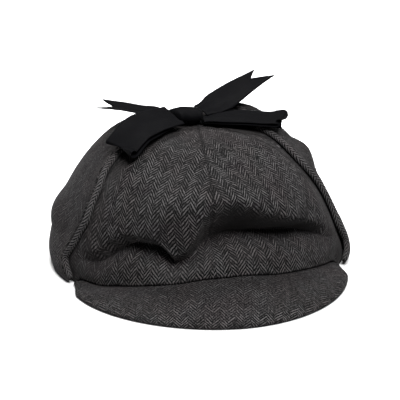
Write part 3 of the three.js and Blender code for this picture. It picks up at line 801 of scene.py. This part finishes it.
def make_crown():
    front = np.arange(-FRONT_HALF_ANGLE, FRONT_HALF_ANGLE + FRONT_STEP / 2, FRONT_STEP)
    back = np.arange(FRONT_HALF_ANGLE + BACK_STEP, 360 - FRONT_HALF_ANGLE - BACK_STEP / 2, BACK_STEP)
    angles = np.concatenate([front, back])
    shares = crown_rows(angles)
    turn = angles[:, None] + 0 * shares
    radius, _ = section_place(turn, shares)
    length = shares * crown_length(turn)
    from_seam = (turn - FRONT_SEAM_ANGLE + PANEL_ANGLE / 2) % PANEL_ANGLE - PANEL_ANGLE / 2
    to_seam = np.radians(np.abs(from_seam)) * radius
    points = folded_crown(turn, shares)
    normals = crown_normal(folded_crown, turn, shares)
    # The cloth's own length, from the rim up to the crease and from the top down to it
    slack = lengths_along(points)
    above = length > crease_length(turn) + 0.01
    cloth = np.where(above, length[:, -1:] - (slack[:, -1:] - slack), length[:, :1] + slack)
    # Seams and soft folds, which fade out under the flaps and at the rim
    free = (1 - under_flaps(turn, shares)) * ease(*FREE_AT_RIM, shares) * (1 - ease(*HELD_AT_TOP, shares))
    seam = bell(to_seam / SEAM_HALF_WIDTH) * ease(*SEAM_FADE, length - crease_length(turn))
    pucker = bell(to_seam / PUCKER_HALF_WIDTH) * np.cos(2 * np.pi * length / PUCKER_MM)
    height = PUCKER_HEIGHT * pucker - SEAM_DEPTH * seam
    for size, tall, seed in zip(SOFT_FOLDS["size"], SOFT_FOLDS["height"], SOFT_FOLDS["seed"]):
        height = height + tall * ripple(points, size, seed)
    outer = points + normals * (height * free)[..., None]
    outer[:, -1] = (0, CROWN_AXIS_Y, CROWN_HEIGHT)
    inner_rows = np.r_[0 : shares.shape[1] - 1 : INNER_EVERY, shares.shape[1] - 1]
    inner = (outer - CROWN_CLOTH * normals)[:, inner_rows][:, ::-1]
    inner[:, 0] = (0, CROWN_AXIS_Y, CROWN_HEIGHT - CROWN_CLOTH)
    # The rim's rounded lower edge
    middle = (outer[:, 0] + inner[:, -1]) / 2
    outward = (outer[:, 0] - inner[:, -1]) / 2
    drop = np.array([0, 0, -CROWN_CLOTH / 2])
    hem = [middle + outward * math.sin(a) + drop * math.cos(a) for a in np.radians(HEM_ANGLES)]
    grid = np.concatenate([outer, inner, np.stack(hem, 1)], 1)

    def spread_uv(middle_angle):
        """Places on the cloth for a panel's middle line, over the whole ring of points."""
        u = np.radians(turn - middle_angle[:, None]) * radius
        outward = np.sign(wrap_angle(middle_angle - FRONT_SEAM_ANGLE))[:, None]
        leaning = np.stack([u - outward * GRAIN_LEAN * cloth, cloth - outward * GRAIN_SLANT * u], -1)
        front_panel = np.abs(wrap_angle(middle_angle))[:, None] < FRONT_PANELS_WITHIN
        face = np.where((above & front_panel)[..., None], leaning, np.stack([u, cloth], -1))
        back_face = face[:, inner_rows][:, ::-1]
        edge = np.stack([face[:, 0]] * len(HEM_ANGLES), 1)
        return close_uv(np.concatenate([face, back_face, edge], 1))

    before = spread_uv(panel_middle(angles - PANEL_BORDER))
    after = spread_uv(panel_middle(angles + PANEL_BORDER))
    # The clearest weave is on the two front panels, and it is rubbed near the flaps and the top
    side = np.abs(wrap_angle(turn))
    clear = 1 - RUBBED_SIDES_SHARE * ease(*RUBBED_SIDES, side)
    clear = clear * (1 - RUBBED_TOP_SHARE * ease(*RUBBED_TOP, shares))
    # Painted light on the roll and in the fold left of the front, painted shade deep in the fold from the
    # front rightwards, and dark seams
    rise = (length - crease_length(turn)) / look_up(FOLDS, "reach", turn)
    inside = above * (1 - ease(*FOLD_FADE, rise)) * ease(*FOLD_DEPTHS, look_up(FOLDS, "depth", turn))
    deep = inside * ease(*DEEP_FOLD_FROM, turn)
    up_roll = length / crease_length(turn)
    roll = ~above * bell((up_roll - ROLL_MIDDLE) / ROLL_HALF) * ease(*ROLL_SIDES, side)
    seams_and_painted_light = 1 - SEAM_DARKENING * seam - DEEP_FOLD_PAINTED_SHADE * deep
    seams_and_painted_light = seams_and_painted_light + FOLD_PAINTED_LIGHT * (inside - deep) + ROLL_PAINTED_LIGHT * roll
    clear = clear * (1 - FOLD_HIDING * inside - DEEP_HIDING * deep)
    clear = clear * np.where(above, 1, RIM_CLEAR - ROLL_HIDING * ease(*RIM_BAND, up_roll))
    ring = [inner_rows[::-1], [0] * len(HEM_ANGLES)]
    values = {
        "clear": np.concatenate([clear] + [clear[:, rows] for rows in ring], 1),
        "seams_and_painted_light": np.concatenate([seams_and_painted_light] + [seams_and_painted_light[:, rows] for rows in ring], 1),
    }
    top = (shares.shape[1] - 1, shares.shape[1])
    piece = skin(
        "crown_cloth",
        grid,
        np.concatenate([before, before[:1]]),
        wool,
        joined=True,
        shared_top=top,
        values=values,
        uv_after=np.concatenate([after, after[:1]]),
    )
    return stand_for(piece, "crown")


# Peak: a stiffened half-moon under the front rim, its cloth turned round the edge
PEAK_COLUMNS = 200
PEAK_ROWS = 40
PEAK_NOSE_STEPS = 12
PEAK_WAVE_HEIGHT = 0.35
PEAK_WAVE_SIZE = 24
PEAK_WAVE_SEED = 5.3
PEAK_WAVE_FROM = (0.08, 0.25)
PEAK_WAVE_TO = (0.85, 1)
PEAK_GRAIN_TURN = 12.5
PEAK_STROKES_CLOSER = 1.3
PEAK_CLEAR = 0.5
PEAK_EDGE = (0.84, 0.97)
PEAK_EDGE_CLEARER = 0.6
PEAK_NOSE_CLEAR = 1.4
# Painted shade: the whole peak made darker
PEAK_PAINTED_SHADE = 0.9


def make_peak():
    half = PEAK_THICKNESS / 2
    turn = np.linspace(-90, 90, PEAK_COLUMNS + 1)
    rim = folded_crown(turn * PEAK_END_ANGLE / 90, np.zeros_like(turn))
    seam_z = rim[:, 2] - SEAM_GAP - half
    outward = rim - (0, CROWN_AXIS_Y, 0)
    outward[:, 2] = 0
    seam_r = np.linalg.norm(outward, axis=1) - CROWN_CLOTH - PEAK_TUCK
    seam = unit(outward) * seam_r[:, None] + (0, CROWN_AXIS_Y, 0)
    sidewise, forward = np.sin(np.radians(turn)), np.cos(np.radians(turn))

    def fuller(value):
        return np.sign(value) * np.abs(value) ** (2 / PEAK_FULLNESS)

    wide = np.where(turn < 0, PEAK_LEFT, PEAK_RIGHT)
    edge = np.stack(
        [PEAK_MIDDLE_X + wide * fuller(sidewise), PEAK_END_Y - PEAK_REACH * fuller(forward), 0 * turn], -1
    )
    rounding = PEAK_CORNER * bell((90 - np.abs(turn)) / PEAK_CORNER_ANGLE)
    across = (edge - seam) * (1 - rounding)[:, None]
    flat = np.linalg.norm(across, axis=1) - half
    across = unit(across)
    share = np.linspace(0, 1, PEAK_ROWS + 1)[None, :]
    middle = seam[:, None, :] + across[:, None, :] * (flat[:, None] * share)[..., None]
    camber = PEAK_CAMBER * np.sin(np.pi * share) * forward[:, None]
    middle[..., 2] = seam_z[:, None] * (1 - share) + half * share + camber
    up = np.array([0, 0, 1])
    soft = PEAK_WAVE_HEIGHT * ripple(middle, PEAK_WAVE_SIZE, PEAK_WAVE_SEED)
    soft = soft * ease(*PEAK_WAVE_FROM, share) * (1 - ease(*PEAK_WAVE_TO, share))
    top = middle + up * (half + soft[..., None])
    bottom = middle - up * half
    angles = np.radians(np.linspace(90, -90, PEAK_NOSE_STEPS + 1)[1:-1])[None, :, None]
    nose = middle[:, -1:] + half * (np.cos(angles) * across[:, None, :] + np.sin(angles) * up)
    grid = np.concatenate([top, nose, bottom[:, ::-1]], 1)
    # The cloth lies flat on top and wraps the edge
    wrapped = middle[:, -1:, :2] + across[:, None, :2] * half * (np.pi / 2 - angles)
    plan = np.concatenate([top[..., :2], wrapped, bottom[:, ::-1, :2]], 1)
    sine, cosine = math.sin(math.radians(PEAK_GRAIN_TURN)), math.cos(math.radians(PEAK_GRAIN_TURN))
    u = plan[..., 0] * cosine - plan[..., 1] * sine
    v = -PEAK_STROKES_CLOSER * (plan[..., 0] * sine + plan[..., 1] * cosine)
    clear = np.concatenate(
        [
            PEAK_CLEAR + PEAK_EDGE_CLEARER * ease(*PEAK_EDGE, share) + 0 * flat[:, None],
            np.full((len(turn), PEAK_NOSE_STEPS - 1), PEAK_NOSE_CLEAR),
            np.full((len(turn), PEAK_ROWS + 1), PEAK_CLEAR),
        ],
        1,
    )
    # Painted shade over the whole peak
    values = {"clear": clear, "seams_and_painted_light": 0 * clear + PEAK_PAINTED_SHADE}
    piece = skin("peak_cloth", grid, close_uv(np.stack([u, v], -1)), peak_wool, values=values)
    return stand_for(piece, "peak")


# Ear flaps and their piping
FLAP_UP_STEPS = 110
FLAP_ACROSS_STEPS = 110
FLAP_EDGE_ANGLES = (45, 0, -45)
FLAP_UV_ANGLE = 105
FLAP_UV_RADIUS = 88
# Painted light: the flap lighter towards its foot, fading out up the flap
FLAP_FOOT_PAINTED_LIGHT = 1.62
FLAP_PAINTED_LIGHT_DROP = 0.86
FLAP_FADE_UP = (0.3, 0.5)
FLAP_EDGE_INSET = 0.8
FLAP_EDGE_SHARE = 0.03
FLAP_WAVES = table("size height seed", (22, 0.5, 2.9), (9, 0.25, 6.3))
FLAP_WAVE_LOWEST = -0.4
FLAP_WAVE_SIDES = (0, 0.12)
FLAP_WAVE_FOOT = (0.3, 0.45)
FLAP_WAVE_TIP = (0, 0.1)
PIPING_FIRST_UP = 0.04
PIPING_EDGE_STEPS = 160
PIPING_TIP_STEPS = 60
PIPING_POINTS = 420
PIPING_SIDES = 20
PIPING_SMOOTHING = 6
PIPING_END_ROUND = 2.2
PIPING_END_SHARE = 0.02
PIPING_LUMPS = 0.10
PIPING_LUMP_SIZE = 7
PIPING_LUMP_SEED = 4.4
PIPING_WEAVE_SHIFT = 3.7


def flap_place(side, up, across):
    """Angle, rise and stand-off of the middle of a flap's cloth."""
    step = up * FLAP_ROWS["step"][-1]
    front = look_up(FLAP_ROWS, "left_front" if side < 0 else "right_front", step, "step")
    angle = front + (look_up(FLAP_ROWS, "back", step, "step") - front) * across
    rise = look_up(FLAP_ROWS, "rise", step, "step")
    stand = look_up(FLAP_ROWS, "stand_off", step, "step")
    flare = look_up(FLARES, "left" if side < 0 else "right", step, "step")
    stand = stand + flare * bell(across / FLARE_SHARE)
    for i in np.flatnonzero(SWELLS["side"] == side):
        row = {column: SWELLS[column][i] for column in SWELLS}
        share = bell((angle - row["angle"]) / row["half_angle"])
        stand = stand + row["height"] * share * bell((rise - row["rise"]) / row["half_rise"])
    return angle, rise, stand


def flap_point(side, up, across):
    angle, rise, stand = flap_place(side, up, across)
    normal = crown_normal(plain_crown, side * angle, rise)
    return plain_crown(side * angle, rise) + normal * stand[..., None]


def flap_normal(side, up, across):
    step = 0.01
    up, across = np.clip(up, step, 1 - step), np.clip(across, step, 1 - step)
    return -side * surface_normal(lambda a, b: flap_point(side, a, b), up, across, step, step)


def make_flap(side, name):
    up, across = np.meshgrid(
        np.linspace(0, 1, FLAP_UP_STEPS + 1), np.linspace(0, 1, FLAP_ACROSS_STEPS + 1), indexing="ij"
    )
    half = FLAP_CLOTH / 2
    middle = flap_point(side, up, across)
    normal = flap_normal(side, up, across)
    inset = half * FLAP_EDGE_INSET
    soft = 0
    for size, tall, seed in zip(FLAP_WAVES["size"], FLAP_WAVES["height"], FLAP_WAVES["seed"]):
        soft = soft + tall * ripple(middle, size, seed + side)
    soft = soft * ease(*FLAP_WAVE_SIDES, across) * ease(*FLAP_WAVE_SIDES, 1 - across)
    soft = soft * ease(*FLAP_WAVE_FOOT, up) * ease(*FLAP_WAVE_TIP, 1 - up)
    soft = np.maximum(soft, FLAP_WAVE_LOWEST)
    sideways = unit(np.gradient(middle, axis=1))
    pull = inset * (bell(across / FLAP_EDGE_SHARE) - bell((1 - across) / FLAP_EDGE_SHARE))
    outer = middle + normal * (half + soft)[..., None] + sideways * pull[..., None]
    inner = middle - normal * half + sideways * pull[..., None]

    def rounded_edge(k, inward):
        """Points round the edge at column k, from its outer face to its inner one or back."""
        turns = np.radians(FLAP_EDGE_ANGLES)
        inwards = [sideways[:, k] * inward * inset * (1 - math.cos(a)) for a in turns]
        across_edge = [normal[:, k] * -inward * half * math.sin(a) for a in turns]
        return np.stack([middle[:, k] + a + b for a, b in zip(inwards, across_edge)], 1)

    grid = np.concatenate([outer, rounded_edge(-1, -1), inner[:, ::-1], rounded_edge(0, 1)], 1)
    angle, _, _ = flap_place(side, up, across)
    u = side * np.radians(angle - FLAP_UV_ANGLE) * FLAP_UV_RADIUS
    face = np.stack([u, lengths_along(middle.swapaxes(0, 1)).T], -1)
    edges = len(FLAP_EDGE_ANGLES)
    uv = np.concatenate(
        [face, np.repeat(face[:, -1:], edges, 1), face[:, ::-1], np.repeat(face[:, :1], edges, 1)], 1
    )
    clear = np.ones(grid.shape[:2])
    # Painted light: lighter towards the flap's foot, less up the flap
    seams_and_painted_light = clear * (FLAP_FOOT_PAINTED_LIGHT - FLAP_PAINTED_LIGHT_DROP * ease(*FLAP_FADE_UP, up[:, :1]))
    piece = skin(name, grid, close_uv(uv), flap_wool, values={"clear": clear, "seams_and_painted_light": seams_and_painted_light})
    return stand_for(piece, name.replace("_cloth", ""))


def even_line(points, count):
    """The same line with its points equally far apart."""
    length = lengths_along(points)
    at = np.linspace(0, length[-1], count)
    return np.stack([np.interp(at, length, points[:, k]) for k in range(points.shape[1])], -1)


def make_piping(side, name):
    steps = np.linspace(PIPING_FIRST_UP, 1, PIPING_EDGE_STEPS)
    tip = np.linspace(0, 1, PIPING_TIP_STEPS)[1:-1]
    up = np.concatenate([steps, np.ones_like(tip), steps[::-1]])
    across = np.concatenate([np.zeros_like(steps), tip, np.ones_like(steps)])
    points = flap_point(side, up, across)
    normal = flap_normal(side, up, across)
    heart = flap_point(side, np.array(FLAP_HEART_UP), np.array(FLAP_HEART_ACROSS))
    along = unit(np.gradient(points, axis=0))
    out = unit(np.cross(along, normal))
    out = out * np.sign(((points - heart) * out).sum(1))[:, None]
    offset = PIPING_DIAMETER / 2 + SEAM_GAP
    line = even_line(points + out * offset, PIPING_POINTS)
    frames = even_line(np.concatenate([points + out * offset, normal], 1), PIPING_POINTS)
    window = np.hanning(2 * PIPING_SMOOTHING + 3)[1:-1]
    window /= window.sum()
    reach = PIPING_SMOOTHING

    def smoothed(values):
        held = np.concatenate([values[:1].repeat(reach, 0), values, values[-1:].repeat(reach, 0)])
        return np.stack([np.convolve(held[:, k], window, "valid") for k in range(values.shape[1])], -1)

    line = smoothed(line)
    normal = smoothed(frames[:, 3:])
    along = unit(np.gradient(line, axis=0))
    normal = unit(normal - along * (normal * along).sum(1, keepdims=True))
    out = unit(np.cross(along, normal)) * side
    length = lengths_along(line)
    near_end = np.minimum(length, length[-1] - length)
    ended = (1 - near_end / PIPING_END_ROUND).clip(0) ** 2
    radius = PIPING_DIAMETER / 2 * np.sqrt(np.clip(1 - ended, PIPING_END_SHARE, 1))
    angles = np.linspace(0, 2 * np.pi, PIPING_SIDES, endpoint=False)[None, :, None]
    ring = out[:, None, :] * np.cos(angles) + normal[:, None, :] * np.sin(angles)
    lumps = PIPING_LUMPS * ripple(line, PIPING_LUMP_SIZE, PIPING_LUMP_SEED)[:, None, None]
    grid = line[:, None, :] + ring * radius[:, None, None] * (1 + lumps)
    round_it = np.linspace(0, np.pi * PIPING_DIAMETER, PIPING_SIDES + 1) + PIPING_WEAVE_SHIFT
    uv = np.stack(np.broadcast_arrays(round_it[None, :], length[:, None]), -1)
    clear = np.ones(grid.shape[:2])
    piece = skin(name, grid, uv, piping_wool, values={"clear": clear, "seams_and_painted_light": clear})
    return stand_for(piece, name.replace("_cloth", ""))


# Ribbon: thin strips, gathered where the knot holds them
RIBBON_ALONG = 140
RIBBON_ACROSS = 24
RIBBON_SPAN_SAMPLES = 60
GATHER_WAVES = 2.5
GATHER_SHARE = 0.35
GATHER_LIMIT = 0.7
CUP_MIDDLE = 0.4
CUP_WIDTHS = (12, 22)
RIBBON_EDGE_THINNING = 0.5
RIBBON_EDGE_POWER = 12


def ribbon_frame(rows, share):
    """Middle, lengthwise and crosswise directions and width of a ribbon at shares of its run."""
    places = np.stack([rows["x"], rows["y"] + CROWN_AXIS_Y, rows["z"]], -1)
    line = smooth_line(places, RIBBON_SPAN_SAMPLES)
    at = share * (len(line) - 1)
    index = np.arange(len(line))
    centre = np.stack([np.interp(at, index, line[:, k]) for k in range(3)], -1)
    slopes = np.gradient(line, axis=0)
    along = unit(np.stack([np.interp(at, index, slopes[:, k]) for k in range(3)], -1))
    keyed = {**rows, "step": np.arange(len(rows["x"]), dtype=float)}
    step = share * keyed["step"][-1]
    heading = np.radians(look_up(keyed, "heading", step, "step"))
    dip = np.radians(look_up(keyed, "dip", step, "step"))
    across = np.stack([np.sin(heading) * np.cos(dip), -np.cos(heading) * np.cos(dip), -np.sin(dip)], -1)
    across = unit(across - along * (across * along).sum(-1, keepdims=True))
    return centre, along, across, look_up(keyed, "width", step, "step")


def run_length(rows):
    places = np.stack([rows["x"], rows["y"], rows["z"]], -1)
    return lengths_along(smooth_line(places, RIBBON_SPAN_SAMPLES))[-1]


def make_ribbon(name, rows, notch=0.0, cup=0.0):
    length = run_length(rows)
    share, place = np.meshgrid(
        np.linspace(0, 1, RIBBON_ALONG + 1), np.linspace(-1, 1, RIBBON_ACROSS + 1), indexing="ij"
    )
    share = share * (1 - notch / length * (1 - np.abs(place)))
    centre, along, across, width = ribbon_frame(rows, share)
    normal = unit(np.cross(along, across))
    squeeze = np.sqrt(np.clip((RIBBON_WIDTH / width) ** 2 - 1, 0, None))
    gather = np.minimum(GATHER_SHARE * squeeze * width / (2 * np.pi * GATHER_WAVES), GATHER_LIMIT)
    lift = gather * np.cos(np.pi * GATHER_WAVES * place)
    lift = lift + cup * (place**2 - CUP_MIDDLE) * ease(*CUP_WIDTHS, width)
    middle = centre + across * (place * width / 2)[..., None] + normal * lift[..., None]
    half = RIBBON_THICKNESS / 2 * (1 - RIBBON_EDGE_THINNING * np.abs(place) ** RIBBON_EDGE_POWER)
    top = middle + normal * half[..., None]
    bottom = middle - normal * half[..., None]
    grid = np.concatenate([top, bottom[:, ::-1]], 1)
    face = np.stack([place * RIBBON_WIDTH / 2, share * length], -1)
    uv = close_uv(np.concatenate([face, face[:, ::-1]], 1))
    piece = skin(f"{name}_cloth", grid, uv, ribbon)
    stand_for(piece, name)
    return piece, length


KNOT_ALONG = 60
KNOT_ROUND = 64
KNOT_PLEATS = 1.5
KNOT_PLEAT_HEIGHT = 0.05
KNOT_PLEAT_SWAY = 0.15
KNOT_PLEAT_FADE = 6
KNOT_WRAP_MM = 48
KNOT_WIDTH_SPREAD = 1.1


def make_knot():
    """The wrap of ribbon round the middle of the bow, pleated and drawn in at its ends."""
    share = np.linspace(-1, 1, KNOT_ALONG + 1)[:, None]
    reach = KNOT_SECTIONS["along"][-1]
    angle = np.linspace(0, 2 * np.pi, KNOT_ROUND, endpoint=False)[None, :]
    depth = look_up(KNOT_SECTIONS, "half_depth", share * reach, "along")
    tall = look_up(KNOT_SECTIONS, "half_height", share * reach, "along")
    pleat = np.cos(np.pi * KNOT_PLEATS * (share + KNOT_PLEAT_SWAY * np.sin(angle)))
    scale = 1 + KNOT_PLEAT_HEIGHT * pleat * (1 - np.abs(share) ** KNOT_PLEAT_FADE)
    frontward = -np.cos(angle)
    x = share * reach + look_up(KNOT_SECTIONS, "lean", share * reach, "along") * frontward
    y = depth * scale * np.cos(angle)
    z = tall * scale * np.sin(angle)
    grid = np.stack(np.broadcast_arrays(x, y, z), -1) + np.array(KNOT_CENTRE) + (0, CROWN_AXIS_Y, 0)
    around = np.linspace(0, KNOT_WRAP_MM, KNOT_ROUND + 1)[None, :]
    uv = np.stack(np.broadcast_arrays(share * reach * KNOT_WIDTH_SPREAD, around), -1)
    return stand_for(skin("bow_knot_cloth", grid, uv, ribbon), "bow_knot")


crown = make_crown()
peak = make_peak()
left_flap = make_flap(-1, "left_ear_flap_cloth")
right_flap = make_flap(1, "right_ear_flap_cloth")
left_piping = make_piping(-1, "left_flap_piping_cloth")
right_piping = make_piping(1, "right_flap_piping_cloth")
knot = make_knot()
left_tie, _ = make_ribbon("left_tie", LEFT_TIE)
right_tie, _ = make_ribbon("right_tie", RIGHT_TIE)
left_loop, left_loop_length = make_ribbon("bow_left_loop", LEFT_LOOP, cup=0.8)
right_loop, right_loop_length = make_ribbon("bow_right_loop", RIGHT_LOOP, cup=0.5)
left_tail, left_tail_length = make_ribbon("bow_left_tail", LEFT_TAIL, TAIL_NOTCH, cup=1.0)
right_tail, right_tail_length = make_ribbon("bow_right_tail", RIGHT_TAIL, TAIL_NOTCH, cup=1.2)

# Floor, light and camera
FLOOR_SIZE = 12
FLOOR_COLOUR = (0.42, 0.42, 0.42, 1)
KEY_LIGHT = {"place": (0.12, -1.4, 1.85), "aim": (0, 0, 0.05), "size": 1.0, "watts": 172, "spread": 180}
BACK_LIGHT = {"place": (0, 1.45, 2.2), "aim": (0, 1.45, 0), "size": 2.0, "watts": 140, "spread": 70}
WORLD_COLOUR = (1, 1, 1, 1)
WORLD_STRENGTH = 0.03
CAMERA_ELEVATION = 19
CAMERA_YAW = -10.5
CAMERA_DISTANCE = 1.1
CAMERA_AIM = (0.002, 0.020, 0.040)
CAMERA_SENSOR = 36
CAMERA_LENS = 141.43


def make_floor():
    half = FLOOR_SIZE / 2
    mesh = bpy.data.meshes.new("floor")
    corners = [(-half, -half, 0), (half, -half, 0), (half, half, 0), (-half, half, 0)]
    mesh.from_pydata(corners, [], [(0, 1, 2, 3)])
    material = bpy.data.materials.new("floor")
    material.use_nodes = True
    shader = material.node_tree.nodes["Principled BSDF"]
    shader.inputs["Base Color"].default_value = FLOOR_COLOUR
    shader.inputs["Roughness"].default_value = 1.0
    shader.inputs["Specular IOR Level"].default_value = 0.0
    mesh.materials.append(material)
    floor = bpy.data.objects.new("floor", mesh)
    bpy.context.scene.collection.objects.link(floor)


def make_light(name, place, aim, size, watts, spread):
    data = bpy.data.lights.new(name, "AREA")
    data.shape = "SQUARE"
    data.size = size
    data.energy = watts
    data.spread = math.radians(spread)
    light = bpy.data.objects.new(name, data)
    light.location = place
    light.rotation_euler = (Vector(aim) - Vector(place)).to_track_quat("-Z", "Y").to_euler()
    bpy.context.scene.collection.objects.link(light)


def make_camera():
    elevation, yaw = math.radians(CAMERA_ELEVATION), math.radians(CAMERA_YAW)
    level = math.cos(elevation)
    back = Vector((math.sin(yaw) * level, -math.cos(yaw) * level, math.sin(elevation)))
    data = bpy.data.cameras.new("camera")
    data.sensor_width = CAMERA_SENSOR
    data.lens = CAMERA_LENS
    camera = bpy.data.objects.new("camera", data)
    camera.location = Vector(CAMERA_AIM) + back * CAMERA_DISTANCE
    camera.rotation_euler = (-back).to_track_quat("-Z", "Y").to_euler()
    bpy.context.scene.collection.objects.link(camera)
    bpy.context.scene.camera = camera


make_floor()
make_light("key", **KEY_LIGHT)
make_light("background", **BACK_LIGHT)
make_camera()
world = bpy.data.worlds.new("studio")
world.use_nodes = True
world.node_tree.nodes["Background"].inputs["Color"].default_value = WORLD_COLOUR
world.node_tree.nodes["Background"].inputs["Strength"].default_value = WORLD_STRENGTH
bpy.context.scene.world = world
bpy.context.scene.view_settings.view_transform = "Standard"
